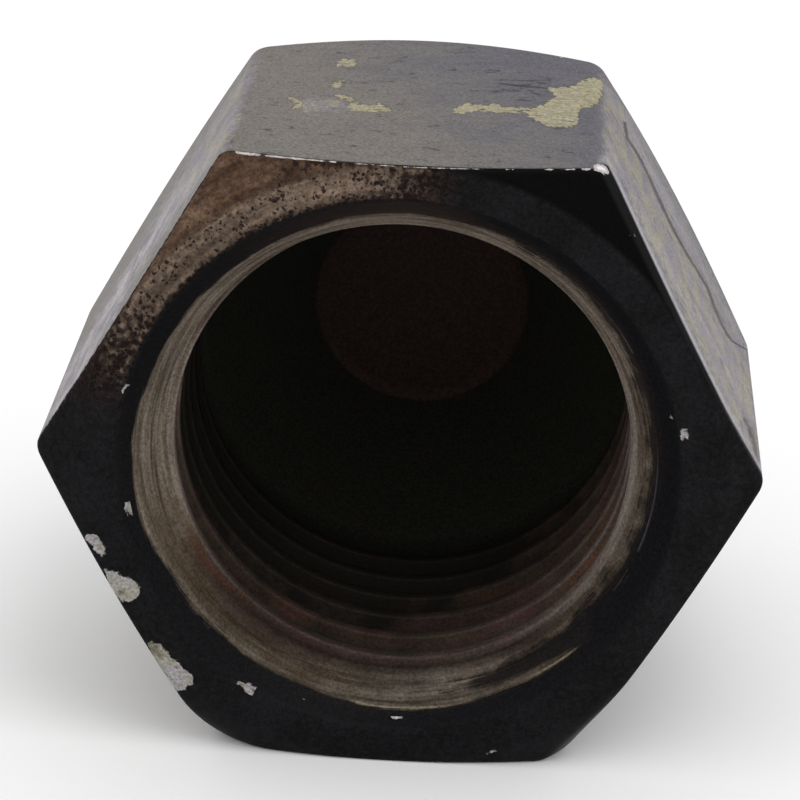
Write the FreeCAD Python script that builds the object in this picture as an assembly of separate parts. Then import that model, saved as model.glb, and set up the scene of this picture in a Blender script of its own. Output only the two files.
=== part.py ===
import FreeCAD, Part
import math
import os

# Cap fitting for a 37 degree flared hydraulic port, turned in one piece from hexagonal steel bar.
# Millimetres. Y runs along the bore with the open mouth at -Y and the closed end at +Y.
# Z is up and X runs corner to corner of the hexagon. The fitting lies on one of its flats,
# and the origin is the middle of its footprint on that surface.

# The hexagonal bar
across_flats = 17.46

# Corner chamfer at the mouth: the circle it leaves on the face, and its slope from the face
face_circle_inset = 0.085
face_chamfer_deg = 26.0

# Closed end: the wall behind the seat, the flat left on the end, the bevel's slope from the axis
end_wall = 3.0
end_face_d = 10.4
end_bevel_deg = 38.0
end_edge_radius = 0.5

# Internal unified thread of 18 threads per inch, bored to its crests
thread_major_d = 14.288
thread_pitch = 1.411
crest_height_per_pitch = 1.0825

# Countersink at the mouth: how far it opens past the major diameter, and its slope from the axis
countersink_clearance = 0.62
countersink_deg = 35.0

# Depth from the mouth to the end of the full thread, and the relief groove behind it
thread_end_depth = 9.6
relief_width = 1.25
relief_clearance = 0.1

# Conical seat: the step inside the thread's crests at its rim, its half angle, its flat floor
seat_rim_inset = 0.12
seat_half_angle_deg = 37.0
seat_floor_d = 6.58

# Amount by which a cutting or trimming body runs past the surface it cuts
overrun = 1.0

# Radii that follow from the sizes above
flat_radius = across_flats / 2
corner_radius = flat_radius / math.cos(math.radians(30))
face_radius = flat_radius - face_circle_inset
end_radius = end_face_d / 2
crest_radius = (thread_major_d - crest_height_per_pitch * thread_pitch) / 2
countersink_radius = thread_major_d / 2 + countersink_clearance
relief_radius = thread_major_d / 2 + relief_clearance
seat_rim_radius = crest_radius - seat_rim_inset
seat_floor_radius = seat_floor_d / 2

# Depths from the mouth that follow from the sizes above
countersink_depth = (countersink_radius - crest_radius) / math.tan(math.radians(countersink_deg))
seat_rim_depth = thread_end_depth + relief_width
seat_height = (seat_rim_radius - seat_floor_radius) / math.tan(math.radians(seat_half_angle_deg))
seat_floor_depth = seat_rim_depth + seat_height
overall_length = seat_floor_depth + end_wall

# Height of the bore axis, and the mouth and closed end along Y
axis_height = flat_radius
mouth_y = -overall_length / 2
end_y = overall_length / 2


def point(radius, y):
    """A point of a turned profile, at a radius from the bore axis."""
    return FreeCAD.Vector(radius, y, axis_height)


def line(start, end):
    return Part.LineSegment(start, end).toShape()


def turned(edges):
    """The solid that a closed half profile sweeps round the bore axis."""
    face = Part.Face(Part.Wire(edges))
    return face.revolve(point(0, 0), FreeCAD.Vector(0, 1, 0), 360)


def profile(points):
    """Straight edges through the points, closed back to the first."""
    ends = points[1:] + points[:1]
    return [line(start, end) for start, end in zip(points, ends)]


def hexagonal_bar():
    """The bar, with a flat down and a flat up, cut to the overall length."""
    corners = []
    for step in range(6):
        angle = math.radians(60 * step)
        x = corner_radius * math.cos(angle)
        z = axis_height + corner_radius * math.sin(angle)
        corners.append(FreeCAD.Vector(x, mouth_y, z))
    outline = Part.makePolygon(corners + corners[:1])
    return Part.Face(outline).extrude(FreeCAD.Vector(0, overall_length, 0))


def rounded_end_edge(bevel_start):
    """The bevel and the end face, with the edge between them rounded off."""
    slope = math.radians(end_bevel_deg)
    bevel_end = point(end_radius, end_y)
    # The arc touches both lines at the same distance from the edge
    turn = math.pi / 2 - slope
    reach = end_edge_radius * math.tan(turn / 2)
    along_bevel = FreeCAD.Vector(math.sin(slope), -math.cos(slope), 0)
    bevel_touch = bevel_end + along_bevel * reach
    face_touch = point(end_radius - reach, end_y)
    centre = point(end_radius - reach, end_y - end_edge_radius)
    half_way = math.pi / 2 - turn / 2
    outward = FreeCAD.Vector(math.cos(half_way), math.sin(half_way), 0)
    middle = centre + outward * end_edge_radius
    return [
        line(bevel_start, bevel_touch),
        Part.Arc(bevel_touch, middle, face_touch).toShape(),
        line(face_touch, point(0, end_y)),
    ]


def turned_envelope():
    """What the lathe leaves: a flat mouth face, its corner chamfer, and the bevelled closed end."""
    outer = corner_radius + overrun
    chamfer_length = (outer - face_radius) * math.tan(math.radians(face_chamfer_deg))
    bevel_length = (outer - end_radius) / math.tan(math.radians(end_bevel_deg))
    axis_mouth = point(0, mouth_y)
    face_edge = point(face_radius, mouth_y)
    chamfer_edge = point(outer, mouth_y + chamfer_length)
    bevel_start = point(outer, end_y - bevel_length)
    front = [line(axis_mouth, face_edge), line(face_edge, chamfer_edge), line(chamfer_edge, bevel_start)]
    back = rounded_end_edge(bevel_start)
    return turned(front + back + [line(point(0, end_y), axis_mouth)])


def blind_bore():
    """The hollow: countersink, threaded length, relief groove, conical seat and its flat floor."""
    flare = overrun * math.tan(math.radians(countersink_deg))
    section = [
        (0, -overrun),
        (countersink_radius + flare, -overrun),
        (crest_radius, countersink_depth),
        (crest_radius, thread_end_depth),
        (relief_radius, thread_end_depth),
        (relief_radius, seat_rim_depth),
        (seat_rim_radius, seat_rim_depth),
        (seat_floor_radius, seat_floor_depth),
        (0, seat_floor_depth),
    ]
    return turned(profile([point(radius, mouth_y + depth) for radius, depth in section]))


def cap_nut():
    """The whole fitting as one solid."""
    body = hexagonal_bar().common(turned_envelope())
    return body.cut(blind_bore()).removeSplitter()


os.makedirs("parts", exist_ok=True)
nut = cap_nut()
nut.exportStep("parts/cap_nut.step")

box = nut.optimalBoundingBox()
print("solids", len(nut.Solids), "valid", nut.isValid(), "volume mm3", round(nut.Volume, 1))
print("size mm", round(box.XLength, 3), round(box.YLength, 3), round(box.ZLength, 3))
print("depths mm: countersink", round(countersink_depth, 3), "seat rim", round(seat_rim_depth, 3))
print("depths mm: seat floor", round(seat_floor_depth, 3), "overall", round(overall_length, 3))
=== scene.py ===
# %% [markdown]
# Hydraulic cap fitting
#
# This cap closes one port of a hydraulic line. It is one piece of hexagonal steel bar, bored and
# threaded from one end, with a 37 degree seat at the bottom of the bore. It was zinc plated, later
# painted black with the machine it sat on, and has been knocked about with spanners since.
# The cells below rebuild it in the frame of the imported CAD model, in metres, with Y along the bore,
# the open mouth at -Y and a flat resting on the floor.

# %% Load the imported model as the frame
import math
import bpy
import numpy as np
from mathutils import Matrix, Vector


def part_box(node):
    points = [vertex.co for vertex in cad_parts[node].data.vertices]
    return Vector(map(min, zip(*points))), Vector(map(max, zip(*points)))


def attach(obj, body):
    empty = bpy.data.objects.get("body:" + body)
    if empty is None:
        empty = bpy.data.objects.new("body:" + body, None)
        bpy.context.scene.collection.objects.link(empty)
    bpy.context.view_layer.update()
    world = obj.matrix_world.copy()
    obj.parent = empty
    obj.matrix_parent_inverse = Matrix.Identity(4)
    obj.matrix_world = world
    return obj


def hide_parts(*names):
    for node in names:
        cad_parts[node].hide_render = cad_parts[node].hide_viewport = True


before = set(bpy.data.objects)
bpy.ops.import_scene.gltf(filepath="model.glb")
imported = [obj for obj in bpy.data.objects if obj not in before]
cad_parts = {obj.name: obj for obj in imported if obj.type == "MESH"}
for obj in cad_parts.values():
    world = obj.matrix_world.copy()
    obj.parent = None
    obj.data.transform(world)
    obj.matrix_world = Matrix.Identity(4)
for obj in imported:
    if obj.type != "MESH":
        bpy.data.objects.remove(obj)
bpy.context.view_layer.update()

# %% [markdown]
# Sizes of the real fitting
#
# The box of the CAD node gives the hexagon and the length. The thread is 9/16-18 unified, so its
# pitch and diameters are standard ones, and the seat follows the 37 degree flare standard.
# Everything is worked out in millimetres, from the mouth inwards, and scaled to metres at the end.

# %% Sizes from the frame and from the thread standard
MM = 0.001
low, high = [np.array(corner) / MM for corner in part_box("cap_nut")]
flat_radius = (high[2] - low[2]) / 2
axis_height = (high[2] + low[2]) / 2
mouth_y = low[1]
overall_length = high[1] - low[1]
corner_radius = flat_radius / math.cos(math.radians(30))

face_circle_inset = 0.085
face_radius = flat_radius - face_circle_inset
face_chamfer_slope = math.radians(26)
end_radius = 5.2
end_bevel_slope = math.radians(38)

thread_pitch = 1.411
crest_height_per_pitch = 1.0825
root_radius = 14.288 / 2
crest_radius = root_radius - crest_height_per_pitch * thread_pitch / 2
thread_end_depth = 9.6
countersink_clearance = 0.62
countersink_radius = root_radius + countersink_clearance
countersink_slope = math.radians(35)
relief_width, relief_clearance = 1.25, 0.1
relief_radius = root_radius + relief_clearance
seat_rim_inset = 0.12
seat_rim_depth = thread_end_depth + relief_width
seat_rim_radius = crest_radius - seat_rim_inset
seat_slope = math.radians(37)
seat_floor_radius = 3.29
seat_floor_depth = seat_rim_depth + (seat_rim_radius - seat_floor_radius) / math.tan(seat_slope)
print("across flats", round(2 * flat_radius, 2), "length", round(overall_length, 2), "mm")
print("seat floor at", round(seat_floor_depth, 2), "mm from the mouth")

# %% [markdown]
# The camera
#
# The fitting was photographed from in front and a little above, with a long lens, so that its
# hexagon hardly narrows to the back. The angles below put the six corners of the mouth and the
# rows of the thread where the photograph has them.

# %% Camera at the photograph's viewing angle
lens_mm = 163.87
turn_left = math.radians(2.18)
look_down = math.radians(20.25)
roll = math.radians(2.17)
distance = 98.66
aim_above_axis = 2.13

ahead = Vector((-math.sin(turn_left) * math.cos(look_down), math.cos(turn_left) * math.cos(look_down), 0))
ahead.z = -math.sin(look_down)
level_right = Vector((math.cos(turn_left), math.sin(turn_left), 0))
level_up = level_right.cross(ahead)
right = level_right * math.cos(roll) + level_up * math.sin(roll)
up = level_up * math.cos(roll) - level_right * math.sin(roll)
aim = Vector((0, mouth_y, axis_height + aim_above_axis))
eye = aim - ahead * distance

camera_data = bpy.data.cameras.new("camera")
camera_data.lens = lens_mm
camera_data.clip_start = 0.005
camera_data.clip_end = 20
camera = bpy.data.objects.new("camera", camera_data)
bpy.context.scene.collection.objects.link(camera)
axes = Matrix((right, up, -ahead)).transposed().to_4x4()
camera.matrix_world = Matrix.Translation(eye * MM) @ axes
bpy.context.scene.camera = camera
print("camera at", [round(v, 1) for v in eye], "mm")

# %% [markdown]
# Rounded machining
#
# A turned and milled steel part has no sharp edge: the hexagon's corners are drawn round in the
# mill, and deburring and years of handling take off the rest. Two corners of this one's mouth have
# also been knocked off. Instead of a bevel modifier, which would struggle where three faces meet
# at a point, each point of the outside is pulled onto the smooth maximum of the distances to all
# the faces. Where one face is far ahead of the others it stays true, and where two come close the
# edge between them rolls over. A knock is one more plane.

# %% Distance to the outside, with rounded edges
corner_rounding = 0.30
edge_rounding = 0.12
end_rounding = 0.20
rim_rounding = 0.10
# Corner and direction in degrees round the axis, lengths in millimetres
knocks = [
    {"corner": 240, "facing": 240, "taken_off": 0.38, "lean": 0.35, "rounding": 0.35},
    {"corner": 300, "facing": 316, "taken_off": 0.36, "lean": 0.45, "rounding": 0.15},
]
flat_angles = np.radians(30 + 60 * np.arange(6))


def smooth_max(a, b, blend):
    """The larger of two distances, rounded over where they come within the blend length."""
    near = np.maximum(blend - np.abs(a - b), 0) / blend
    return np.maximum(a, b) + near * near * blend / 4


def countersink_at(depth):
    """Radius of the countersink's cone at a depth from the mouth."""
    return countersink_radius - depth * math.tan(countersink_slope)


def knocked_plane(point, knock):
    """Distance to the plane of a knock that took a corner off the mouth, leaning back from it."""
    corner, facing, lean = math.radians(knock["corner"]), math.radians(knock["facing"]), knock["lean"]
    side = math.sqrt(1 - lean * lean)
    normal = np.array([math.cos(facing) * side, -lean, math.sin(facing) * side])
    tip_depth = (corner_radius - face_radius) * math.tan(face_chamfer_slope)
    tip = np.array([math.cos(corner) * corner_radius, tip_depth, math.sin(corner) * corner_radius])
    return (point - tip) @ normal + knock["taken_off"]


def outside(point):
    """Distance out of the metal at points given as (x, depth, height above the bore axis)."""
    x, depth, height = point[..., 0], point[..., 1], point[..., 2]
    radius = np.hypot(x, height)
    flats = np.stack([x * math.cos(a) + height * math.sin(a) for a in flat_angles])
    flats = np.sort(flats, axis=0) - flat_radius
    distance = smooth_max(flats[-1], flats[-2], corner_rounding)
    chamfer = (radius - face_radius) * math.sin(face_chamfer_slope) - depth * math.cos(face_chamfer_slope)
    distance = smooth_max(distance, chamfer, edge_rounding)
    distance = smooth_max(distance, -depth, edge_rounding)
    end = depth - overall_length
    bevel = (radius - end_radius) * math.cos(end_bevel_slope) + end * math.sin(end_bevel_slope)
    distance = smooth_max(distance, bevel, edge_rounding)
    distance = smooth_max(distance, end, end_rounding)
    countersink = (countersink_at(depth) - radius) * math.cos(countersink_slope)
    distance = smooth_max(distance, countersink, rim_rounding)
    for knock in knocks:
        distance = smooth_max(distance, knocked_plane(point, knock), knock["rounding"])
    return distance


def pulled_onto_surface(point, moves=4, step=0.0005, least_slope=0.2):
    """The points moved along the distance's slope until they lie on the rounded surface."""
    for _ in range(moves):
        here = outside(point)
        slope = np.empty_like(point)
        for axis in range(3):
            shift = np.zeros(3)
            shift[axis] = step
            slope[..., axis] = (outside(point + shift) - outside(point - shift)) / (2 * step)
        length = np.maximum((slope ** 2).sum(-1, keepdims=True), least_slope)
        point = point - here[..., None] * slope / length
    return point


print("edges rounded over", edge_rounding, "mm, corners over", corner_rounding, "mm")

# %% [markdown]
# One closed skin
#
# The whole fitting is one piece of metal, so its mesh is one closed skin. Columns run round the
# bore axis and crowd at the six corners. Rows run from the middle of the closed end, over the bevel
# and the flats to the mouth, and down the bore to the middle of the seat's floor. They follow
# the curved edges that the turned cones leave on the flats, so every edge has close rows.

# %% Columns round the axis and rows along the outside
columns_per_flat = 64
even_share = 0.25
place = (2 * np.arange(columns_per_flat) / columns_per_flat) - 1
place = even_share * place + (1 - even_share) * np.sin(place * math.pi / 2)
from_flat_middle = np.arctan(place * math.tan(math.radians(30)))
angles = (flat_angles[:, None] + from_flat_middle[None, :]).ravel()
flat_offset = np.tile(from_flat_middle, 6)
columns = len(angles)
hexagon_radius = flat_radius / np.cos(flat_offset)

bevel_depth = overall_length - (hexagon_radius - end_radius) / math.tan(end_bevel_slope)
chamfer_depth = (hexagon_radius - face_radius) * math.tan(face_chamfer_slope)


def crowded(count, crowding=0.85):
    """Fractions from 0 to 1 that crowd towards both ends."""
    even = np.arange(count + 1) / count
    return (1 - crowding) * even + crowding * (1 - np.cos(even * math.pi)) / 2


def rows_along(section):
    """Rows of (radius, depth) along corners, each given with the number of rows to the next one."""
    rows = []
    for (start, count), (end, _) in zip(section, section[1:]):
        for part in crowded(count)[:-1]:
            radius = start[0] + (end[0] - start[0]) * part
            depth = start[1] + (end[1] - start[1]) * part
            rows.append((radius + 0 * angles, depth + 0 * angles))
    return rows


thread_start_depth = 0.42
outside_section = [
    ((0, overall_length), 7),
    ((end_radius, overall_length), 14),
    ((hexagon_radius, bevel_depth), 56),
    ((hexagon_radius, chamfer_depth), 10),
    ((face_radius, 0), 10),
    ((countersink_radius, 0), 6),
    ((countersink_at(thread_start_depth), thread_start_depth), 0),
]


def around_axis(radius, depth):
    """Points (x, depth, height) on every column."""
    return np.stack([radius * np.cos(angles), depth, radius * np.sin(angles)], axis=-1)


outside_rows = rows_along(outside_section)[1:]
outer_skin = pulled_onto_surface(np.stack([around_axis(r, d) for r, d in outside_rows]))
print("outer skin:", outer_skin.shape[0], "rows of", columns, "points")

# %% [markdown]
# The thread
#
# A tap or a single-point tool cut this thread: flats a quarter of the pitch wide on the crests,
# sixty degree flanks and a narrow root. Rows that followed the bore straight round would cut across
# it, so here they follow the helix, and enter and leave at the two ends of the thread one by one.
# A screw modifier could make the thread too, but not its run into the countersink.

# %% Rows that follow the helix
crest_half = thread_pitch / 8
crest_rounding = 0.05
root_rounding = 0.06
crest_centre_at_bottom = 3.61
bottom_turn = 0.75
turn_phase = (crest_centre_at_bottom / thread_pitch + bottom_turn) % 1.0
near_edge = 0.018
edges_of_thread = np.array([-0.125, 0.125, 0.4375, 0.5625])
between_edges = [0, 0.23, 0.33, 0.67, 0.77]
beside_edges = [edges_of_thread - near_edge, edges_of_thread, edges_of_thread + near_edge]
in_pitch = np.sort(np.concatenate(beside_edges + [between_edges]) % 1.0)
rows_per_pitch = len(in_pitch)
most_pitches = 12
end_gap = 0.01


def thread_radius(turns):
    """Radius of the thread at a number of pitches along it, counted from the middle of a crest."""
    along = np.abs((turns + 0.5) % 1.0 - 0.5) * thread_pitch
    flank = crest_radius + (along - crest_half) * math.tan(math.radians(60))
    rounded = smooth_max(flank, crest_radius + 0 * flank, crest_rounding)
    return -smooth_max(-rounded, -root_radius + 0 * flank, root_rounding)


def bore_radius(depth, turns):
    """The thread, opened out by the countersink at the mouth."""
    return smooth_max(thread_radius(turns), countersink_at(depth), crest_rounding)


def thread_column(angle):
    """First helical row in a column of the thread, and the column's points from mouth to relief."""
    rows = np.arange(-rows_per_pitch, most_pitches * rows_per_pitch)
    turns = rows // rows_per_pitch + in_pitch[rows % rows_per_pitch]
    depths = (turns + turn_phase - 1 - angle / (2 * math.pi)) * thread_pitch
    inside = (depths > thread_start_depth + end_gap) & (depths < thread_end_depth - end_gap)
    depths = np.concatenate([[thread_start_depth], depths[inside], [thread_end_depth]])
    radii = bore_radius(depths, depths / thread_pitch + angle / (2 * math.pi) - turn_phase)
    column = np.stack([radii * math.cos(angle), depths, radii * math.sin(angle)], axis=-1)
    return int(rows[inside][0]), column


threads = [thread_column(angle) for angle in angles]
print("rows in a pitch:", rows_per_pitch)

# %% Points and faces of the skin
points = []
faces = []


def add_points(new_points):
    """Adds points to the skin and returns their numbers."""
    first = len(points)
    points.extend(new_points.tolist())
    return list(range(first, len(points)))


def join_rows(row, next_row):
    """Quads between two rows that run all the way round."""
    for column in range(columns):
        after = (column + 1) % columns
        faces.append((row[column], row[after], next_row[after], next_row[column]))


def join_columns(here, there, first, there_first):
    """Faces between two columns of the thread, whose helical rows are numbered from the first."""
    start = max(first, there_first)
    if first < start:
        faces.append((here[0], there[0], here[1]))
    stop = min(first + len(here), there_first + len(there)) - 2
    upper = here[start - first] if first < start else here[0], there[0]
    for row in range(start, stop):
        lower = here[row - first + 1], there[row - there_first + 1]
        faces.append((upper[0], upper[1], lower[1], lower[0]))
        upper = lower
    if there_first + len(there) - 2 > stop:
        faces.append((upper[0], upper[1], there[-2], here[-1]))
        faces.append((here[-1], there[-2], there[-1]))
    else:
        faces.append((upper[0], upper[1], there[-1], here[-1]))


def close_with_tip(row, depth, facing_back):
    """Triangles from a row to a point on the axis."""
    tip = add_points(np.array([[0.0, depth, 0.0]]))[0]
    for column in range(columns):
        pair = row[column], row[(column + 1) % columns]
        faces.append((tip, pair[1], pair[0]) if facing_back else (tip, pair[0], pair[1]))


rows = [add_points(row) for row in outer_skin]
close_with_tip(rows[0], overall_length, True)
for row, next_row in zip(rows, rows[1:]):
    join_rows(row, next_row)

first_rows = [first for first, column in threads]
thread_points = [add_points(column) for first, column in threads]
for column in range(columns - 1):
    pair = thread_points[column], thread_points[column + 1]
    join_columns(*pair, first_rows[column], first_rows[column + 1])
join_columns(thread_points[-1], thread_points[0], first_rows[-1], first_rows[0] + rows_per_pitch)
join_rows(rows[-1], [column[0] for column in thread_points])
print("points so far:", len(points))

# %% [markdown]
# The relief and the seat
#
# Behind the thread the tool ran out into a narrow groove. Then comes the seat, a cone that a tube's
# flared nose, or here the stub of the port, presses against. It ends in the flat floor that the
# drill and boring bar left.

# %% Relief groove, seat and floor
groove_edge = 0.05
ledge_edge = 0.06
floor_edge, floor_edge_rise = 0.03, 0.04
deep_section = [
    ((relief_radius, thread_end_depth), 1),
    ((relief_radius, thread_end_depth + groove_edge), 4),
    ((relief_radius, seat_rim_depth - groove_edge), 1),
    ((relief_radius, seat_rim_depth), 5),
    ((seat_rim_radius + ledge_edge, seat_rim_depth), 1),
    ((seat_rim_radius, seat_rim_depth + ledge_edge), 14),
    ((seat_floor_radius + floor_edge, seat_floor_depth - floor_edge_rise), 1),
    ((seat_floor_radius - floor_edge, seat_floor_depth), 5),
    ((0, seat_floor_depth), 0),
]
previous = [column[-1] for column in thread_points]
for radius, depth in rows_along(deep_section):
    row = add_points(around_axis(radius, depth))
    join_rows(previous, row)
    previous = row
close_with_tip(previous, seat_floor_depth, False)
print("the skin is closed with", len(faces), "faces")

# %% [markdown]
# The piece
#
# The points so far are measured from the mouth and the bore axis. Here they move into the frame,
# become metres, and the finished mesh takes the place of the CAD node.

# %% The fitting as one mesh
mouth_centre = np.array([0, mouth_y, axis_height])
sharp_from = math.radians(42)
mesh = bpy.data.meshes.new("cap_fitting")
mesh.from_pydata(((np.array(points) + mouth_centre) * MM).tolist(), [], faces)
mesh.shade_smooth()
mesh.set_sharp_from_angle(angle=sharp_from)
fitting = bpy.data.objects.new("cap_fitting", mesh)
bpy.context.scene.collection.objects.link(fitting)
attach(fitting, "root")
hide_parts("cap_nut")
triangles = sum(len(face) - 2 for face in faces)
print("cap_fitting:", len(points), "points,", triangles, "triangles")

# %% [markdown]
# Where the damage is
#
# The paint on this fitting has come off in chips, mostly where a spanner slipped or where it hit
# something. Their outlines are read from the photograph as pixels of its 800 by 800 frame. Each
# point of the skin that the camera sees gets its distance to the nearest outline, in millimetres,
# positive inside. A distance changes evenly between mesh points, so the shader can cut a sharp,
# slightly ragged edge out of it, which a painted mask on this mesh couldn't give. A crack, a gash
# and the dark line under a lifted edge of the paint are thin lines, and each keeps the distance to
# either side of it. That dark line is partly dirt and partly a painted shadow of the lifted edge.

# %% Outlines of the damage, in pixels of the photograph
chips = {
    "chip by the top right corner": [
        (526, 109), (541, 106), (556, 96), (549, 90), (548, 87), (556, 88), (566, 87), (580, 82), (597, 77),
        (603, 82), (602, 95), (598, 104), (589, 107), (580, 110), (578, 116), (580, 122), (574, 127),
        (556, 128), (540, 124), (530, 117),
    ],
    "thin end of that chip": [
        (480, 105), (492, 104), (505, 106), (527, 107), (533, 114), (519, 112), (503, 114), (482, 111),
    ],
    "left end of the chip": [
        (451, 113), (456, 108), (462, 104), (472, 103), (482, 105), (482, 112), (470, 111), (462, 114),
    ],
    "ragged end of the scrape": [
        (345, 104), (356, 103), (372, 105), (380, 104), (392, 109), (386, 113), (366, 112), (350, 111),
    ],
    "upper edge of the scrape": [(322, 97), (338, 95), (354, 96), (357, 101), (346, 101), (336, 98)],
    "left end of the scrape": [
        (285, 98), (292, 96), (300, 99), (302, 106), (297, 110), (291, 109), (295, 104), (288, 101),
    ],
    "tail of the scrape": [(395, 110), (404, 109), (415, 111), (406, 112)],
    "chip behind the scrape": [
        (336, 63), (341, 59), (350, 58), (357, 61), (358, 65), (351, 69), (344, 66), (339, 68),
    ],
    "fleck behind the scrape": [(329, 85), (335, 83), (341, 79), (346, 82), (344, 87), (337, 89), (331, 88)],
    "fleck at the back edge": [(558, 54), (570, 56), (568, 59), (560, 58)],
    "knock on the lower left edge": [
        (104, 570), (116, 569), (121, 577), (134, 579), (141, 589), (137, 599), (124, 603), (114, 597),
        (108, 585),
    ],
    "chip above the knock": [(84, 535), (95, 534), (100, 537), (106, 548), (104, 556), (95, 551)],
    "strip by the lower left edge": [
        (148, 643), (158, 642), (163, 647), (172, 658), (186, 670), (195, 678), (190, 686), (179, 691),
        (168, 686), (158, 672),
    ],
    "triangle below the rim": [(236, 681), (246, 683), (258, 686), (254, 695), (246, 693)],
    "fleck on the left": [(125, 503), (132, 502), (133, 515), (126, 516)],
    "upper fleck on the left": [(122, 391), (124, 386), (129, 382), (128, 386), (123, 392)],
    "fleck on the right": [(680, 429), (687, 428), (689, 438), (682, 441)],
    "small fleck on the right": [(671, 415), (673, 417), (672, 421), (668, 420)],
    "fleck near the corner": [(630, 236), (636, 233), (636, 236), (631, 238)],
    "fleck at the bottom": [(485, 753), (497, 750), (499, 752), (487, 755)],
}
# Pale spots: a painted highlight over the rubbed top right corner, and two painted glints on the lower lip
polished_and_glints = {
    "top right corner": [
        (592, 166), (594, 164), (602, 164), (607, 167), (610, 172), (608, 175), (603, 173), (596, 171),
    ],
    "glint on the lower lip": [(389, 716), (392, 711), (401, 710), (405, 714), (401, 719), (393, 720)],
    "smaller glint on the lip": [(302, 698), (304, 694), (310, 694), (312, 699), (307, 702)],
}
# Paint rubbed thin. On the upper right and upper left flats, their paleness is mostly painted sheen
rubbed_and_sheen = {
    "middle of the scrape": [
        (292, 101), (304, 97), (318, 98), (324, 95), (346, 99), (352, 104), (384, 105), (345, 112),
        (320, 110), (305, 113), (300, 108),
    ],
    "upper right flat": [
        (599, 76), (612, 86), (640, 122), (668, 178), (700, 243), (722, 290), (745, 335), (752, 362),
        (757, 405), (764, 470), (745, 446), (722, 398), (700, 350), (676, 300), (652, 250), (634, 212),
        (622, 184), (611, 172), (605, 160), (603, 130), (602, 105),
    ],
    "upper left flat": [(245, 60), (262, 55), (228, 152), (152, 250), (92, 360), (48, 446), (30, 430)],
}
streaky = {
    "beside the long chip": [(486, 72), (520, 72), (552, 78), (556, 90), (540, 101), (505, 99), (488, 88)],
    "foot of the upper right flat": [(736, 420), (752, 415), (758, 470), (744, 455)],
}
# Dark line under a lifted edge of the paint, partly dirt and partly painted shadow
lifted_edge_shadow_and_dirt = [(497, 83), (520, 86), (545, 88), (556, 90), (570, 87), (585, 83), (599, 76)]
crack = [
    (624, 119), (627, 138), (639, 157), (651, 181), (661, 204), (674, 231), (686, 253), (697, 271),
    (707, 287), (714, 307), (722, 325), (731, 341), (760, 357),
]
gash = [(743, 417), (750, 430), (754, 444), (758, 466)]
print("outlines:", len(chips), "chips,", len(polished_and_glints), "polished,", len(rubbed_and_sheen) + len(streaky), "rubbed_and_sheen")

# %% Which points of the skin lie inside an outline
picture_width = 800
picture_middle = picture_width / 2
focal_pixels = lens_mm / camera_data.sensor_width * picture_width
pixels_per_mm = focal_pixels / distance


def pixels_of(point):
    """Where the camera sees points given as (x, depth, height), in pixels of the photograph."""
    seen = point + mouth_centre - np.array(eye)
    away = seen @ np.array(ahead)
    across = picture_middle + focal_pixels * (seen @ np.array(right)) / away
    down = picture_middle - focal_pixels * (seen @ np.array(up)) / away
    return np.stack([across, down], axis=-1)


def distance_inside(pixels, outline):
    """Distance in pixels from the outline, positive inside it."""
    corners = np.array(outline, float)
    nearest = np.full(len(pixels), np.inf)
    inside = np.zeros(len(pixels), bool)
    for start, end in zip(corners, np.roll(corners, -1, axis=0)):
        along = end - start
        part = np.clip(((pixels - start) @ along) / (along @ along), 0, 1)
        gap = pixels - start - part[:, None] * along
        nearest = np.minimum(nearest, np.hypot(gap[:, 0], gap[:, 1]))
        crosses = (start[1] > pixels[:, 1]) != (end[1] > pixels[:, 1])
        rise = along[1] if along[1] else 1
        inside ^= crosses & (pixels[:, 0] < start[0] + (pixels[:, 1] - start[1]) / rise * along[0])
    return np.where(inside, nearest, -nearest)


all_points = np.array(points)
point_side, point_depth, point_height = all_points.T
seen_pixels = pixels_of(all_points)
normals = np.zeros(len(points) * 3)
mesh.vertices.foreach_get("normal", normals)
normals = normals.reshape(-1, 3)
faces_camera = (normals * (np.array(eye) - all_points - mouth_centre)).sum(-1) > 0
tip_of_end = outer_skin.shape[0] * columns
on_outside = np.arange(len(points)) <= tip_of_end
print(int((on_outside & faces_camera).sum()), "points of the outside face the camera")


# %% Distances to the damage, kept on the mesh
def inside_any(outlines):
    """Distance in millimetres of every point to the nearest of the outlines, at most one."""
    best = np.full(len(points), -1.0)
    for outline in outlines.values():
        best = np.maximum(best, distance_inside(seen_pixels, outline) / pixels_per_mm)
    return np.where(on_outside & faces_camera, np.clip(best, -1, 1), -1)


def keep(name, values):
    """Stores one value for each point of the mesh, for the shader to read."""
    layer = mesh.attributes.new(name, "FLOAT", "POINT")
    layer.data.foreach_set("value", np.asarray(values, np.float32))
    print("kept", name, "from", round(float(np.min(values)), 2), "to", round(float(np.max(values)), 2))


def keep_line(name, line, along, where):
    """Stores the distance to a thin line, with its sign, because the mesh is coarser than the line."""
    line = np.array(line, float)
    at = np.interp(seen_pixels[:, along], line[:, along], line[:, 1 - along])
    gap = (seen_pixels[:, 1 - along] - at) / pixels_per_mm
    in_reach = (seen_pixels[:, along] > line[0, along]) & (seen_pixels[:, along] < line[-1, along])
    kept_here = on_outside & where & in_reach
    keep(name, np.where(kept_here, np.clip(gap, -1, 1), np.where(gap > 0, 1, -1)))


keep("chip", inside_any(chips))
keep("rubbed_and_sheen", inside_any(rubbed_and_sheen))
keep("streaky", inside_any(streaky))
across_picture, down_picture = 0, 1
on_right_flats, on_top_flat = normals[:, 0] > 0.5, normals[:, 2] > 0.9
keep_line("crack", crack, down_picture, on_right_flats)
keep_line("gash", gash, down_picture, on_right_flats)
keep_line("line", lifted_edge_shadow_and_dirt, across_picture, on_top_flat)

# %% [markdown]
# Where the paint ends
#
# Whoever painted the machine didn't mask this fitting, and the brush ran over the rim of the mouth
# and part way down the countersink. On the left and at the bottom the paint stops at a sharp line,
# and along the bottom a thread of bright plating shows beside it. On the right it thins out
# gradually, and at the lower right a run of paint has crept further in. Towards its end the paint is
# hazed brown by oil. All this follows the bore, so it is written by degrees round it, from the right
# and anticlockwise.

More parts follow.
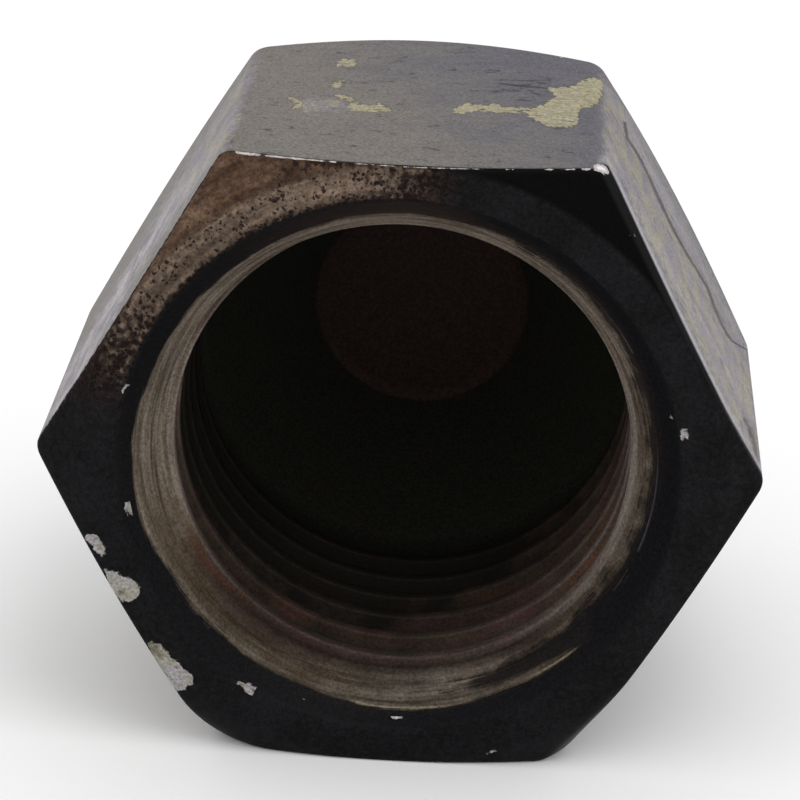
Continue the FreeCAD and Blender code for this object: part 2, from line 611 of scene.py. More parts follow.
# %% Edges of the paint round the mouth
# By degrees: the radius at which the paint ends, and how softly
paint_end = {
    0: (6.88, 0.1), 20: (6.88, 0.12), 40: (6.95, 0.12), 60: (6.95, 0.12), 75: (7.02, 0.1), 90: (7.14, 0.08),
    110: (7.05, 0.06), 130: (7.12, 0.05), 150: (7.18, 0.04), 165: (7.25, 0.04), 177: (7.35, 0.03),
    197: (7.35, 0.03), 210: (7.22, 0.04), 225: (7.24, 0.04), 240: (7.27, 0.03), 255: (7.28, 0.03),
    266: (7.36, 0.02), 300: (7.36, 0.02), 318: (7.36, 0.03), 322: (6.94, 0.16), 335: (6.86, 0.2),
    345: (6.84, 0.14), 360: (6.88, 0.1),
}
# By degrees: the strength of the brown haze, and how far it reaches out from the paint's end
haze = {
    0: (0.7, 0.5), 45: (1.0, 0.45), 70: (0.9, 0.5), 90: (1.3, 1.3), 110: (0.9, 1.1), 130: (0.3, 0.8),
    150: (0.1, 0.5), 240: (0.1, 0.5), 270: (0.3, 0.1), 290: (0.5, 0.06), 316: (0.3, 0.06),
    326: (0.35, 0.25), 345: (0.5, 0.4), 360: (0.7, 0.5),
}
# By degrees: the inner and the outer radius of the run of paint
run_inside = {281: 7.08, 302: 6.92, 318: 6.86, 330: 6.92}
run_outside = {281: 7.08, 296: 7.16, 308: 7.21, 319: 7.37}
run_softness = 0.045
bright_from, bright_to, bright_width = 262, 318, 0.03
mouth_reach = 2.0
most_paint = 3

point_radius = np.hypot(point_side, point_height)
point_degrees = np.degrees(np.arctan2(point_height, point_side)) % 360
degree_mm = np.radians(1) * point_radius
near_mouth = point_depth < mouth_reach


def round_bore(table):
    """The columns of a table by degrees round the bore, each carried over to every point."""
    rows_of_table = np.array(list(table.values()), float).reshape(len(table), -1)
    return [np.interp(point_degrees, list(table), column) for column in rows_of_table.T]


end_radii, softness = round_bore(paint_end)
paint = (point_radius - end_radii) / softness
drip = np.minimum(point_degrees - min(run_inside), max(run_inside) - point_degrees) * degree_mm
within_run = np.minimum(point_radius - round_bore(run_inside)[0], round_bore(run_outside)[0] - point_radius)
paint = np.maximum(paint, np.minimum(drip, within_run) / run_softness)
deeper_in = np.where(on_outside, most_paint, -most_paint)
keep("paint", np.where(near_mouth, np.clip(paint, -most_paint, most_paint), deeper_in))

haze_strength, haze_reach = round_bore(haze)
keep("haze", near_mouth * haze_strength * np.clip(1 - (point_radius - end_radii) / haze_reach, 0, 1))

bright = np.minimum(point_degrees - bright_from, bright_to - point_degrees) * degree_mm
bright = np.minimum(bright, bright_width - np.abs(point_radius - end_radii + bright_width))
keep("bright", np.where(near_mouth, np.clip(bright, -1, 1), -1))

# %% [markdown]
# Bare steel at the upper left
#
# The upper left of the mouth has lost its paint and plating. The bare part ends at the rim, on the
# left it fades into the black over a few degrees, and on the chamfer it starts further round than
# on the face.

# %% Where the steel is bare
bare_from, bare_to = 80, 171
bare_from_on_chamfer, chamfer_after = 97, 0.3
fade_in, fade_out = 1.2, 1.9
bare_inner_radius, inner_sharpness = 7.76, 12
most_bare = 3
facing_front = -0.5

face_to_chamfer = [face_radius, face_radius + chamfer_after]
starts = np.interp(point_radius, face_to_chamfer, [bare_from, bare_from_on_chamfer])
bare = np.minimum((point_degrees - starts) / fade_in, (bare_to - point_degrees) / fade_out) * degree_mm
bare = np.minimum(bare, (point_radius - bare_inner_radius) * inner_sharpness)
on_mouth = on_outside & near_mouth & (normals[:, 1] < facing_front)
keep("bare", np.where(on_mouth, np.clip(bare, -1, most_bare), -1))

# %% [markdown]
# Soil, shade, stain and oil in the bore
#
# Oil has stained the thread. It is also darker deep in the bore and at the bottom and the left,
# partly from soil and partly as painted shade. In front of the first crest a dark line runs along the
# bottom. The roots of the thread are darker, partly from oil left in them and partly as painted
# shade. All of it is stored as one number a point, because it changes slowly from one point of the
# mesh to the next.

# %% How dirty and how shaded the bore is
# By degrees: soil and shade on the countersink, and the depths where stain starts and where soil and shade
# start and end
soil_and_shade = {
    0: (0.0, 1.95, 3.0, 12), 45: (0, 1.95, 2.2, 4), 90: (0, 1.95, 2.2, 3.4), 150: (0, 2.2, 2.4, 3.6),
    175: (0, 3.0, 3.4, 5.2), 195: (0.05, 2.4, 2.8, 5.0), 212: (0.3, 1.7, 2.2, 5.5),
    240: (0.45, 1.65, 1.9, 6), 270: (0.45, 1.65, 1.8, 6.5), 300: (0.3, 1.6, 1.9, 10),
    330: (0.1, 1.7, 2.2, 13), 360: (0.0, 1.95, 3.0, 12),
}
stain_fade = 0.35
soil_and_shade_before_relief = 0.2
soil_and_shade_on_countersink, stain_depth, soil_and_shade_start, soil_and_shade_end = round_bore(soil_and_shade)
into_soil_and_shade = np.clip((point_depth - soil_and_shade_start) / (soil_and_shade_end - soil_and_shade_start), 0, 1)
into_soil_and_shade = np.where(point_depth > thread_end_depth - soil_and_shade_before_relief, 1, into_soil_and_shade)
keep("soil_and_shade", soil_and_shade_on_countersink + (1 - soil_and_shade_on_countersink) * into_soil_and_shade)
keep("stain", np.clip((point_depth - stain_depth) / stain_fade, -1, 2))

# By degrees: how strong the dark line in front of the first crest is
dark_band_share = {205: 0, 235: 0.8, 300: 0.9, 330: 0.5, 350: 0}
dark_band_from_crest, dark_band_half_width = 0.33, 0.16
dark_band_from, dark_band_to, dark_band_within = 1.47, 2.4, 7.0
root_from, root_fade = 0.42, 0.12
roots_from, roots_fade = 2.0, 0.3
helix_depth = point_depth + (point_degrees - 270) / 360 * thread_pitch
half_pitch = thread_pitch / 2
from_crest = np.abs((helix_depth - crest_centre_at_bottom + half_pitch) % thread_pitch - half_pitch)
dark_band = np.clip(1 - np.abs(from_crest - dark_band_from_crest) / dark_band_half_width, 0, 1)
dark_band *= (point_depth > dark_band_from) & (point_depth < dark_band_to)
keep("dark_band", dark_band * round_bore(dark_band_share)[0] * (point_radius < dark_band_within))
in_roots = np.clip((from_crest - root_from) / root_fade, 0, 1)
in_roots = in_roots * np.clip((point_depth - roots_from) / roots_fade, 0, 1)
in_roots *= (point_depth < thread_end_depth) * (point_radius < root_radius + end_gap)
keep("roots", in_roots)

# %% [markdown]
# Worn and highlighted edges
#
# The edge between the top flat and the mouth is pale in short dashes, partly polished bare and partly
# a painted highlight, and so is its right end. Two specks on the lower lip are painted glints. Each dash
# is the distance to that edge, cut off at the pixel columns between which the photograph shows it.
# The black bevel of the closed end keeps its distance to the flats in the same way, for a thin
# blue-grey line along that edge.

# %% Dashes along the top edge and the line at the back
# Pixel columns of each dash, and half its width in millimetres
worn_and_highlight_spans = {
    (236, 262): 0.045, (266, 300): 0.035, (304, 340): 0.018, (352, 400): 0.012, (408, 484): 0.014,
    (505, 514): 0.025, (543, 556): 0.03, (563, 576): 0.03, (581, 591): 0.035, (594, 610): 0.045,
}
top_edge_drop, top_edge_reach = 0.3, 1.2
back_edge_inset = 0.5

chamfer_rise = (point_radius - face_radius) * math.sin(face_chamfer_slope)
front = np.maximum(chamfer_rise - point_depth * math.cos(face_chamfer_slope), -point_depth)
from_top_edge = np.abs(point_height - flat_radius - front)
worn_and_highlight = np.full(len(points), -1.0)
for (start, end), half_width in worn_and_highlight_spans.items():
    from_end = np.minimum(seen_pixels[:, 0] - start, end - seen_pixels[:, 0]) / pixels_per_mm
    worn_and_highlight = np.maximum(worn_and_highlight, np.minimum(half_width - from_top_edge, from_end))
on_top_edge = on_outside & (point_height > flat_radius - top_edge_drop) & (point_depth < top_edge_reach)
keep("worn_and_highlight", np.maximum(np.where(on_top_edge, worn_and_highlight, -1), inside_any(polished_and_glints)))

bevel_rise = (point_radius - end_radius) * math.cos(end_bevel_slope)
above_bevel = bevel_rise + (point_depth - overall_length) * math.sin(end_bevel_slope)
sides = [point_side * math.cos(a) + point_height * math.sin(a) for a in flat_angles]
above_flats = np.max(sides, axis=0) - flat_radius
at_back = (point_depth > overall_length / 2) & (point_radius > flat_radius - back_edge_inset)
keep("back_edge", np.where(at_back, np.minimum(np.abs(above_bevel - above_flats), 1), 1))

# %% [markdown]
# Adding nodes
#
# One helper adds a node to the material and links what it is given. Colours are written as the
# eye would name them, in sRGB hex, and turned to the linear values that the shader works in.

# %% Helpers for the material
finish = bpy.data.materials.new("black_enamel_over_plated_steel")
finish.use_nodes = True
tree = finish.node_tree
tree.nodes.clear()


def linear(hex_colour):
    """Linear RGBA of an sRGB hex colour."""
    parts = [int(hex_colour[i:i + 2], 16) / 255 for i in (1, 3, 5)]
    return [c / 12.92 if c <= 0.04045 else ((c + 0.055) / 1.055) ** 2.4 for c in parts] + [1]


def add(kind, inputs=(), **settings):
    """A new node with its settings. Inputs come in order or by name, as values, hex colours or nodes."""
    node = tree.nodes.new("ShaderNode" + kind)
    for name, value in settings.items():
        setattr(node, name, value)
    usable = [socket for socket in node.inputs if socket.enabled]
    pairs = inputs.items() if isinstance(inputs, dict) else enumerate(inputs)
    for key, value in pairs:
        socket = usable[key] if isinstance(key, int) else next(s for s in usable if s.name == key)
        if isinstance(value, bpy.types.Node):
            value = next(output for output in value.outputs if output.enabled)
        if isinstance(value, bpy.types.NodeSocket):
            tree.links.new(value, socket)
        else:
            socket.default_value = linear(value) if isinstance(value, str) else value
    return node


def product(*factors):
    """Masks and amounts multiplied. A mask may be a value with the range over which it fades in."""
    factors = [add("MapRange", factor) if isinstance(factor, tuple) else factor for factor in factors]
    result = factors[0]
    for factor in factors[1:]:
        result = add("Math", [result, factor], operation="MULTIPLY")
    return result


def tinted(colour, other, by, start, end, least=0.0, most=1.0):
    """A colour that turns into another as a value goes from start to end."""
    share = add("MapRange", [by, start, end, least, most])
    return add("Mix", [share, colour, other], data_type="RGBA")


print("a middle grey is", round(linear("#808080")[0], 3), "in linear values")

# %% [markdown]
# Coordinates on the part
#
# Patterns follow how each surface was made. Turned surfaces get rings round the bore axis, so they
# need the direction round it and the place along the turned section. The flats get short
# streaks across them. All lengths are in millimetres from the mouth and the bore axis.

# %% Places, and the distances kept on the mesh
coordinates = add("TexCoord")
mouth_in_metres = (0, mouth_y * MM, axis_height * MM)
from_mouth = add("VectorMath", [coordinates.outputs["Object"], mouth_in_metres], operation="SUBTRACT")
in_mm = add("VectorMath", {"Vector": from_mouth, "Scale": 1 / MM}, operation="SCALE")
side_place, depth_place, height_place = add("SeparateXYZ", [in_mm]).outputs
across_axis = add("CombineXYZ", [side_place, 0.0, height_place])
radius_place = add("VectorMath", [across_axis], operation="LENGTH").outputs["Value"]
direction = add("VectorMath", [across_axis], operation="NORMALIZE")
section_place = add("Math", [radius_place, depth_place], operation="SUBTRACT")

kept_names = [layer.name for layer in mesh.attributes if layer.data_type == "FLOAT"]
kept = {name: add("Attribute", attribute_name=name).outputs["Fac"] for name in kept_names}
print("the shader reads", ", ".join(kept_names))

# %% Patterns that the finishes share
# Patches to a millimetre, and their detail. Broad ones are 2.2 mm across, patchy 0.9, ragged 0.2,
# rust 0.17, and the grain of the surface 0.08
broad, patchy, ragged, rust_patches, grain = [
    add("TexNoise", {"Vector": in_mm, "Scale": per_mm, "Detail": detail, "Roughness": 0.6})
    for per_mm, detail in ((0.45, 3.0), (1.1, 4.0), (5.0, 3.0), (6.0, 4.0), (12.0, 1.0))
]


def drawn_out(per_mm, detail):
    """Noise with its own number of patches to a millimetre across, along and up the fitting."""
    stretched = add("VectorMath", [in_mm, per_mm], operation="MULTIPLY")
    return add("TexNoise", {"Vector": stretched, "Scale": 1.0, "Detail": detail, "Roughness": 0.6})


def turned_rings(per_mm, round_axis, detail):
    """Noise drawn out into rings, as a turning tool leaves them."""
    rings = add("CombineXYZ", [0.0, add("Math", [section_place, per_mm], operation="MULTIPLY"), 0.0])
    around = add("VectorMath", {"Vector": direction, "Scale": round_axis}, operation="SCALE")
    ring_place = add("VectorMath", [rings, around], operation="ADD")
    return add("TexNoise", {"Vector": ring_place, "Scale": 1.0, "Detail": detail, "Roughness": 0.6})


def roughened(name, inwards, outwards):
    """A distance kept on the mesh, moved in and out in millimetres by the ragged noise."""
    return add("Math", [kept[name], add("MapRange", [ragged, 0.3, 0.7, inwards, outwards])])


# The feed of the tool left about five rings to a millimetre, and the mill two or three streaks
tool_rings = turned_rings(5.0, 2.4, 3.0)
streaks = drawn_out((2.0, 2.6, 2.0), 4.0)
print("patterns:", len(tree.nodes), "nodes so far")

# %% [markdown]
# Flats, and where the black goes round the edge
#
# The chalked paint, with its painted sheen, is only on the flats, so the shader needs to know them
# from the turned faces. On the right the whole black of the mouth reaches round the edge onto the flat,
# furthest at the top, and on the left its front edge is ragged. On the edge this black is partly paint
# and partly painted shade.

# %% Masks of the flats and of the black reach
facing = add("SeparateXYZ", [coordinates.outputs["Normal"]])
facing_along_bore = add("Math", [facing.outputs["Y"]], operation="ABSOLUTE")
on_flats = add("MapRange", [facing_along_bore, 0.15, 0.45, 1.0, 0.0])

outside_face = add("Math", [radius_place, -face_radius])
along_chamfer = add("Math", [outside_face, -math.sin(face_chamfer_slope)], operation="MULTIPLY")
behind_edge = add("Math", [depth_place, math.cos(face_chamfer_slope)], operation="MULTIPLY")
behind_front = add("Math", [behind_edge, along_chamfer])
on_right = add("MapRange", [side_place, 4.95, 5.3])
# The black that reaches onto the flat is partly paint and partly painted shade on the edge
black_reach = product(on_right, (height_place, 2.1, 7.8, 0.0, -1.6))
left_front = product((side_place, -4.9, -5.4), (ragged, 0.42, 0.6, -0.12, 0.0))
behind_reach = add("Math", [behind_front, add("Math", [black_reach, left_front])])
in_reach = product(behind_reach, (on_right, 0.0, 1.0, 4.0, 0.7))
in_reach = add("MapRange", [in_reach, 0.0, 0.2, 1.0, 0.0])
dull_reach = add("Math", [on_flats, in_reach], operation="MULTIPLY")
on_flats = add("Math", [on_flats, add("Math", [dull_reach, -1.0], operation="MULTIPLY")])
print("masks of the flats:", len(tree.nodes), "nodes so far")

# %% [markdown]
# Yellow-passivated zinc plating
#
# Before it was painted the fitting was zinc plated and dipped in chromate, which leaves a pale,
# slightly green yellow film. It shows wherever the paint has chipped, dull and a little powdery.
# Noise shifts it between the yellow and a greyer lilac, and dark hairlines of paint stay in it.
# Along the top edge it is pale, partly rubbed to a shine and partly a painted highlight.

# %% Plating under the paint
hairlines = drawn_out((1.6, 7.0, 1.6), 3.0)
on_flat_hue = tinted("#9C9678", "#A29B86", patchy, 0.35, 0.65)
on_front_hue = tinted("#908D84", "#9A969A", patchy, 0.42, 0.58)
plating_hue = add("Mix", [on_flats, on_front_hue, on_flat_hue], data_type="RGBA")
plating_hue = tinted(plating_hue, "#7B7668", ragged, 0.4, 0.62, 0.45, 0.0)
plating_colour = tinted(plating_hue, "#5F5848", hairlines, 0.34, 0.44, 0.8, 0.0)
plating = {"colour": plating_colour, "roughness": 0.62, "metal": 0.0, "height": 0.0}

# Pale plating along the top edge, partly rubbed bare and partly painted highlight, near white in the painted
# glints
bright_plating_and_highlight = tinted("#AFA9AD", "#B9B3A6", patchy, 0.4, 0.6)
bright_plating_and_highlight = tinted(bright_plating_and_highlight, "#E4E0DD", kept["worn_and_highlight"], 0.05, 0.09)
rubbed_bright_and_highlight = {**plating, "colour": bright_plating_and_highlight}
print("plating:", len(tree.nodes), "nodes so far")

# %% [markdown]
# Turned steel, stained brown
#
# Round the mouth the paint and plating have rubbed through to steel, which has tarnished brown.
# Fine rings of the tool still show, and rust has eaten black pits into it, most of them on the
# flat ring of the face, which is otherwise the paler part because it rubs on what it meets.

# %% Stained steel round the mouth
stain = tinted("#4C392E", "#645041", patchy, 0.38, 0.62)
on_ring = add("MapRange", [radius_place, face_radius + 0.12, face_radius - 0.05])
rubbed_ring = add("Math", [on_ring, 0.75], operation="MULTIPLY")
rubbed_steel = add("Mix", [rubbed_ring, stain, "#6F6155"], data_type="RGBA")
ring_shade = add("MapRange", [tool_rings, 0.35, 0.65])
ringed = add("Mix", [0.4, rubbed_steel, ring_shade], data_type="RGBA", blend_type="OVERLAY")
specked = tinted(ringed, "#2A1F1A", ragged, 0.42, 0.66, 0.0, 0.55)

# Pits lie about an eighth of a millimetre apart
pit_shift = add("VectorMath", {"Vector": ragged.outputs["Color"], "Scale": 0.25}, operation="SCALE")
pit_place = add("VectorMath", [in_mm, pit_shift], operation="ADD")
pit_cells = add("TexVoronoi", {"Vector": pit_place, "Scale": 8.5})
cell_size = add("SeparateColor", [pit_cells.outputs["Color"]]).outputs[0]
pitted_ring = add("Math", [on_ring, 0.35], operation="MULTIPLY")
pitted = add("Math", [add("MapRange", [kept["bare"], 0.3, 2.8, 0.55, 0.0]), pitted_ring])
pitted = add("Math", [pitted, add("MapRange", [patchy, 0.4, 0.6, -0.1, 0.3])])
pit_width = add("Math", [pitted, cell_size], operation="MULTIPLY")
pit = add("Math", [pit_width, pit_cells.outputs["Distance"]], operation="SUBTRACT")
pit = add("MapRange", [pit, -0.06, 0.16])
pit_darkness = add("Math", [pit, 0.9], operation="MULTIPLY")
steel_colour = add("Mix", [pit_darkness, specked, "#171011"], data_type="RGBA")
rusted = add("Math", [rust_patches, add("MapRange", [kept["bare"], 0.0, 2.8, 0.26, -0.12])])
steel_colour = tinted(steel_colour, "#191212", rusted, 0.46, 0.64, 0.0, 0.88)
pit_depth = add("Math", [pit, -0.03], operation="MULTIPLY")
groove_depth = add("Math", [tool_rings, 0.012], operation="MULTIPLY")
steel_height = add("Math", [pit_depth, groove_depth])
steel = {"colour": steel_colour, "roughness": 0.5, "metal": 0.3, "height": steel_height}
print("steel:", len(tree.nodes), "nodes so far")

# %% [markdown]
# The bore
#
# The bore was never painted, only plated. The plating has worn to a greyish beige on the
# countersink, browned by grime at the lower right and by oil at the lower left, with a paler line
# beside the first crest at the lower right, partly rubbed plating and partly a painted highlight on
# that edge. On the thread it is stained purple brown and olive by old oil. It is darker at the bottom
# and the left, partly from oil and soil and partly as painted shade, so the right side of the thread
# is the lighter one. Deep in the thread the crests are lighter than the flanks, partly rubbed and
# partly painted highlight. Behind it all is dark and matt.

# %% Worn plating on the countersink
beige = tinted("#51483E", "#867B6F", tool_rings, 0.34, 0.64)
lower_right = product((side_place, 1.5, 4.0), (height_place, 3.0, 1.0))
lower_left = product((side_place, 0.5, -2.0), (height_place, 0.0, -3.0))
grimy = product((radius_place, 6.54, 6.76), lower_right, (patchy, 0.35, 0.65, 0.45, 0.85))
oily = product((radius_place, 7.3, 7.05), lower_left, (patchy, 0.35, 0.65, 0.35, 0.75))
# A paler line beside the first crest at the lower right, partly rubbed plating and partly a painted
# highlight on that edge
rubbed_rim_and_highlight = product((radius_place, 6.62, 6.5), lower_right, 0.4)
for mask, hue in ((grimy, "#40352B"), (oily, "#5C4C39"), (rubbed_rim_and_highlight, "#9D948E")):
    beige = add("Mix", [mask, beige, hue], data_type="RGBA")
print("countersink:", len(tree.nodes), "nodes so far")

# %% Oily thread and dark seat
tint = add("ValToRGB", [turned_rings(1.2, 1.5, 2.0)])
purple_brown, rust_brown = tint.color_ramp.elements
purple_brown.position = 0.42
purple_brown.color = linear("#553F3B")
rust_brown.position = 0.68
rust_brown.color = linear("#5F3F33")
olive = tint.color_ramp.elements.new(0.54)
olive.color = linear("#4C4135")
stained = add("Math", [kept["stain"], 0.85], operation="MULTIPLY")
bore_tinted = add("Mix", [stained, beige, tint], data_type="RGBA")
crest_place = add("MapRange", [radius_place, crest_radius + 0.08, crest_radius + 0.02])
# Crests deep in the thread are paler, partly rubbed and partly painted highlight
on_crest = product(crest_place, (depth_place, 1.9, 2.1), (kept["soil_and_shade"], 0.0, 0.5, 0.6, 0.12))
bore_tinted = add("Mix", [on_crest, bore_tinted, "#897E7A"], data_type="RGBA")

# Darker deeper in, and at the bottom and the left: partly soil and partly painted shade
uneven_soil_and_shade = add("Math", [kept["soil_and_shade"], add("MapRange", [patchy, 0.35, 0.65, -0.1, 0.1])])
# Deep in the thread the crests are lighter than flanks and roots, painted light over their own shade
deep_thread = add("Mix", [crest_place, "#11100D", "#211E1A"], data_type="RGBA")
deep_hue = tinted(deep_thread, "#22231E", depth_place, thread_end_depth, seat_rim_depth)
deep_hue = tinted(deep_hue, "#271D19", depth_place, seat_floor_depth - 0.1, seat_floor_depth - 0.02)
bore_colour = tinted(bore_tinted, deep_hue, uneven_soil_and_shade, 0.0, 0.88, 0.0, 0.97)
# The roots of the thread are darker, partly oil left in them and partly painted shade
roots_oil_and_shade = product(kept["roots"], (kept["soil_and_shade"], 0.0, 0.6, 0.65, 0.1))
for mask, hue in ((kept["dark_band"], "#17100F"), (roots_oil_and_shade, "#0A0807")):
    bore_colour = add("Mix", [mask, bore_colour, hue], data_type="RGBA")
bore_colour = tinted(bore_colour, "#837C66", kept["bright"], -0.01, 0.015, 0.0, 0.8)
bore_metal = add("MapRange", [depth_place, 1.2, 3.0, 0.35, 0.1])
bore = {"colour": bore_colour, "roughness": 0.45, "metal": bore_metal, "height": groove_depth}
print("bore:", len(tree.nodes), "nodes so far")

# %% [markdown]
# Black machine enamel
#
# The paint is an air-dried black enamel, brushed on with the machine. Round the mouth it is whole and
# nearly black, darkest in the top right corner. On the flats it is a paler grey, partly weathered to a
# chalk and partly a painted sheen of the bright surroundings at that flat angle. There it carries the
# short streaks of the milled steel under it, so it is also grooved. Where the whole black goes round
# onto a flat it is rougher than elsewhere, because a glossy black would look grey at so flat an angle.
# Inside the rim it is browned by what ran out of the bore.

# %% Chalked enamel on the flats, with a painted sheen
chalk_and_sheen_across = add("Math", [side_place, 0.1], operation="MULTIPLY")
chalk_and_sheen_along = add("Math", [depth_place, 0.04], operation="MULTIPLY")
chalk_and_sheen_side = add("Math", [chalk_and_sheen_across, chalk_and_sheen_along])
# Grey of the flats, partly weathered chalk and partly painted sheen, darker towards the right and the back
chalk_and_sheen_hue = tinted("#6F6A65", "#59575E", add("Math", [chalk_and_sheen_side, broad]), 0.5, 1.2)
streaky_here = add("MapRange", [kept["streaky"], -0.2, 0.2])
streak_from = add("Math", [0.36, add("Math", [streaky_here, 0.1], operation="MULTIPLY")])
streak = add("Math", [streak_from, streaks], operation="SUBTRACT")
streak = add("MapRange", [streak, 0.0, 0.06])
from_line = add("Math", [kept["line"]], operation="ABSOLUTE")
darker_chalk_and_sheen = add("Mix", [0.15, chalk_and_sheen_hue, "#252228"], data_type="RGBA")
chalk_and_sheen = tinted(darker_chalk_and_sheen, chalk_and_sheen_hue, streaks, 0.35, 0.65)
chalk_and_sheen = add("Mix", [add("Math", [streak, 0.6], operation="MULTIPLY"), chalk_and_sheen, "#252228"], data_type="RGBA")
# The dark line under the lifted edge, partly dirt and partly painted shadow
chalk_and_sheen = tinted(chalk_and_sheen, "#1F1C1E", from_line, 0.01, 0.035, 0.75, 0.0)
# A pale lilac strip along the rounded edge beside the black, a painted highlight
highlight_beside_black = product((behind_reach, 0.2, 0.4), (behind_reach, 1.1, 0.6, 0.0, on_right))
chalk_and_sheen = add("Mix", [highlight_beside_black, chalk_and_sheen, "#98959B"], data_type="RGBA")
print("chalk:", len(tree.nodes), "nodes so far")

# %% Whole enamel round the mouth
darkest_side = math.radians(52)
darkest = (math.cos(darkest_side), 0.0, math.sin(darkest_side))
to_darkest = add("VectorMath", [direction, darkest], operation="DOT_PRODUCT").outputs["Value"]
in_corner = product((to_darkest, 0.8, 0.92), (radius_place, face_radius, face_radius + 0.15))
uneven_black = add("Math", [add("Math", [noise, 0.5], operation="MULTIPLY") for noise in (broad, ragged)])
whole_black = tinted("#0F0F10", "#19191B", uneven_black, 0.4, 0.6)
whole_black = add("Mix", [in_corner, whole_black, "#050505"], data_type="RGBA")
hazed = product(kept["haze"], (tool_rings, 0.3, 0.7, 0.6, 1.0))
browned = add("Mix", [hazed, "#151517", "#2D2521"], data_type="RGBA")
inside_rim = countersink_radius + 0.02, countersink_radius - 0.08
whole_black = tinted(whole_black, browned, radius_place, *inside_rim)

paint_thickness = 0.05
enamel_colour = add("Mix", [on_flats, whole_black, chalk_and_sheen], data_type="RGBA")
brush_relief = add("Math", [patchy, 0.03], operation="MULTIPLY")
enamel_height = add("Math", [product(streak, on_flats, -0.02), brush_relief])
enamel_height = add("Math", [enamel_height, paint_thickness])
enamel_roughness = add("MapRange", [on_flats, 0.0, 1.0, 0.36, 0.42])
enamel_roughness = add("Math", [enamel_roughness, add("Math", [dull_reach, 0.6], operation="MULTIPLY")])
enamel = {"colour": enamel_colour, "roughness": enamel_roughness, "metal": 0.0, "height": enamel_height}
print("enamel:", len(tree.nodes), "nodes so far")

# %% [markdown]
# Rubbed paint and painted sheen
#
# On the upper right and upper left flats, and in the middle of the scrape on top, the paint is a pale
# lilac grey, with beige where it is thinnest. In the scrape the paint has been rubbed thin without
# chipping, and the plating shines through. On the two side flats it is rubbed too, and most of their
# paleness is a painted sheen of the bright surroundings at that flat angle, paler towards the front.
# A long crack runs down the upper right flat, with greyer paint beyond it, and a short gash lies near
# its foot.

# %% Paint rubbed thin, and painted sheen
mottles = drawn_out((2.0, 0.7, 2.0), 3.0)
# The upper left flat is paler and more lilac, a painted sheen
on_left = add("MapRange", [side_place, -7.5, -5.2, 1.0, 0.0])
beige_film_and_sheen = add("Mix", [on_left, "#868072", "#989295"], data_type="RGBA")
thin_paint_and_sheen_hue = tinted("#77727A", beige_film_and_sheen, mottles, 0.40, 0.60)
thin_paint_and_sheen_hue = tinted(thin_paint_and_sheen_hue, "#7C787F", kept["crack"], -0.05, 0.1, 0.0, 0.65)
front_bands = drawn_out((0.12, 0.5, 0.12), 4.0)
banded = add("Math", [front_bands, add("MapRange", [depth_place, 0.0, 9.0, 0.12, -0.06])])
band_shade = add("MapRange", [banded, 0.36, 0.7, 0.3, 0.75])
thin_paint_and_sheen_hue = add("Mix", [0.5, thin_paint_and_sheen_hue, band_shade], data_type="RGBA", blend_type="OVERLAY")
thin_paint_and_sheen_hue = tinted(thin_paint_and_sheen_hue, "#4A4346", streaks, 0.32, 0.45, 0.5, 0.0)

from_crack = add("Math", [roughened("crack", -0.02, 0.02)], operation="ABSOLUTE")
from_gash = add("Math", [roughened("gash", -0.06, 0.06)], operation="ABSOLUTE")
cracked = add("MapRange", [from_crack, 0.012, 0.06, 0.9, 0.0])
gashed = add("MapRange", [from_gash, 0.02, 0.07, 0.7, 0.0])
cracked = add("Math", [cracked, gashed])
thin_paint_and_sheen_colour = add("Mix", [cracked, thin_paint_and_sheen_hue, "#262021"], data_type="RGBA")
thin_height = add("Math", [enamel_height, add("Math", [cracked, -0.04], operation="MULTIPLY")])
thin_paint_and_sheen = {"colour": thin_paint_and_sheen_colour, "roughness": 0.42, "metal": 0.0, "height": thin_height}
print("rubbed paint:", len(tree.nodes), "nodes so far")

# %% [markdown]
# Laying one finish over another
#
# The masks say where paint is left. Each is a distance roughened by noise and cut to an edge a few
# hundredths of a millimetre wide.

# %% Masks and layers
def lay_over(lower, upper, mask):
    """The upper finish over the lower one where the mask is 1."""
    layered = {}
    for part, kind in (("colour", "RGBA"), ("roughness", "FLOAT"), ("metal", "FLOAT"), ("height", "FLOAT")):
        layered[part] = add("Mix", [mask, lower[part], upper[part]], data_type=kind)
    return layered


chipped = add("MapRange", [roughened("chip", -0.05, 0.05), -0.012, 0.012])
worn_and_highlight_bright = add("MapRange", [roughened("worn_and_highlight", -0.025, 0.02), -0.006, 0.008])
thinned_and_sheen = product((roughened("rubbed_and_sheen", -0.16, 0.12), -0.05, 0.1), on_flats)
bared = add("MapRange", [roughened("bare", -0.3, 0.3), -0.1, 0.7])
ringed_border = add("MapRange", [tool_rings, 0.3, 0.7, -1.3, 1.3])
patchy_border = add("MapRange", [patchy, 0.3, 0.7, -0.9, 0.9])
painted = add("Math", [kept["paint"], add("Math", [ringed_border, patchy_border])])
painted = add("MapRange", [painted, -0.8, 0.8])

outside_finish = enamel
for upper, mask in ((thin_paint_and_sheen, thinned_and_sheen), (steel, bared), (plating, chipped), (rubbed_bright_and_highlight, worn_and_highlight_bright)):
    outside_finish = lay_over(outside_finish, upper, mask)
whole = lay_over(bore, outside_finish, painted)
edged = tinted(whole["colour"], "#3A3946", kept["back_edge"], 0.03, 0.06, 0.7, 0.0)
grain_shade = add("MapRange", [grain, 0.3, 0.7])
grained = add("Mix", [0.3, edged, grain_shade], data_type="RGBA", blend_type="OVERLAY")
print("layers:", len(tree.nodes), "nodes so far")

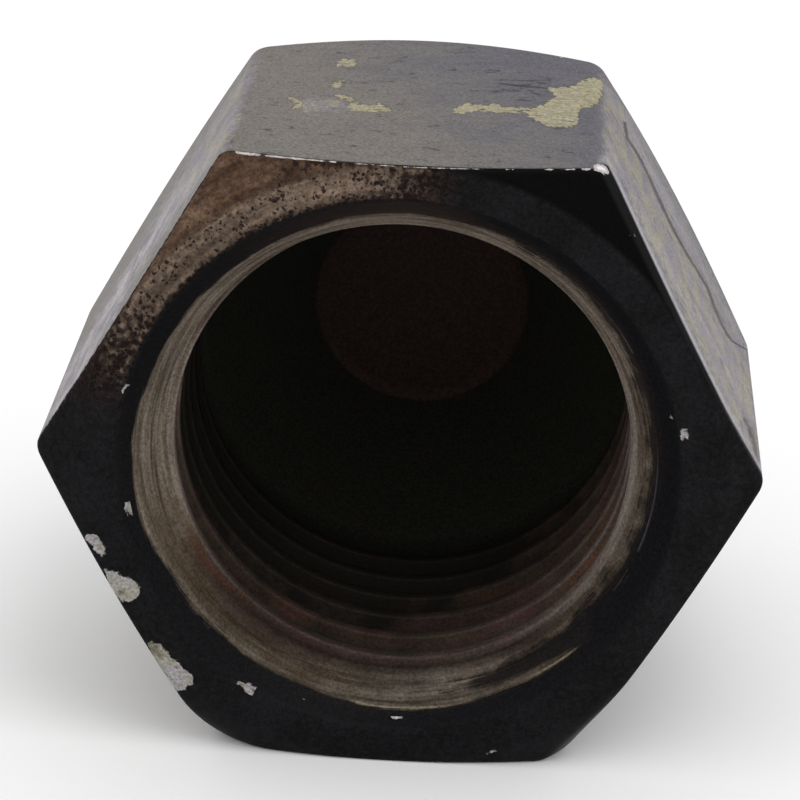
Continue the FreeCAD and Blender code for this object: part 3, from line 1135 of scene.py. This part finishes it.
# %% Shader
# The heights are in millimetres
bump = add("Bump", {"Strength": 1.0, "Distance": MM, "Height": whole["height"]})
shader = add("BsdfPrincipled", {
    "Base Color": grained,
    "Metallic": whole["metal"],
    "Roughness": whole["roughness"],
    "Normal": bump,
})
# Chalk, dust and dried oil scatter the light, so hardly any gloss is left on any of the finishes, and the
# sheen of the flats is painted into their colour instead
shader.inputs["Specular IOR Level"].default_value = 0.03
add("OutputMaterial", [shader])
mesh.materials.append(finish)
print("nodes in the finish:", len(tree.nodes))

# %% [markdown]
# Floor and light
#
# The fitting was photographed on its own against white. A pale matt floor and an even white sky give
# that, and one weak round lamp from the upper front makes the soft shadow that shows it lying there.

# %% Floor
half_floor = 2.0
floor_grey = 0.92
floor_mesh = bpy.data.meshes.new("floor")
corners = [(x * half_floor, y * half_floor, 0) for x, y in ((-1, -1), (1, -1), (1, 1), (-1, 1))]
floor_mesh.from_pydata(corners, [], [(0, 1, 2, 3)])
floor = bpy.data.objects.new("floor", floor_mesh)
bpy.context.scene.collection.objects.link(floor)
white = bpy.data.materials.new("floor")
white.use_nodes = True
matt_white = white.node_tree.nodes["Principled BSDF"]
matt_white.inputs["Base Color"].default_value = (floor_grey, floor_grey, floor_grey, 1)
matt_white.inputs["Roughness"].default_value = 0.9
floor_mesh.materials.append(white)
print("floor:", 2 * half_floor, "m wide")

# %% Light
lamp_place = Vector((0.12, -0.15, 0.35))
lamp_aim = Vector((0, 0, 0.01))
world = bpy.data.worlds.new("world")
bpy.context.scene.world = world
world.use_nodes = True
sky = world.node_tree.nodes["Background"]
sky.inputs["Color"].default_value = (1, 1, 1, 1)
sky.inputs["Strength"].default_value = 1.0
lamp = bpy.data.lights.new("key", "AREA")
lamp.shape = "DISK"
lamp.size = 0.25
lamp.energy = 0.3
key = bpy.data.objects.new("key", lamp)
bpy.context.scene.collection.objects.link(key)
key.location = lamp_place
key.rotation_mode = "QUATERNION"
key.rotation_quaternion = (lamp_aim - lamp_place).to_track_quat("-Z", "Y")
bpy.context.scene.view_settings.view_transform = "Standard"
print("lamp:", round(lamp_place.length, 2), "m away")
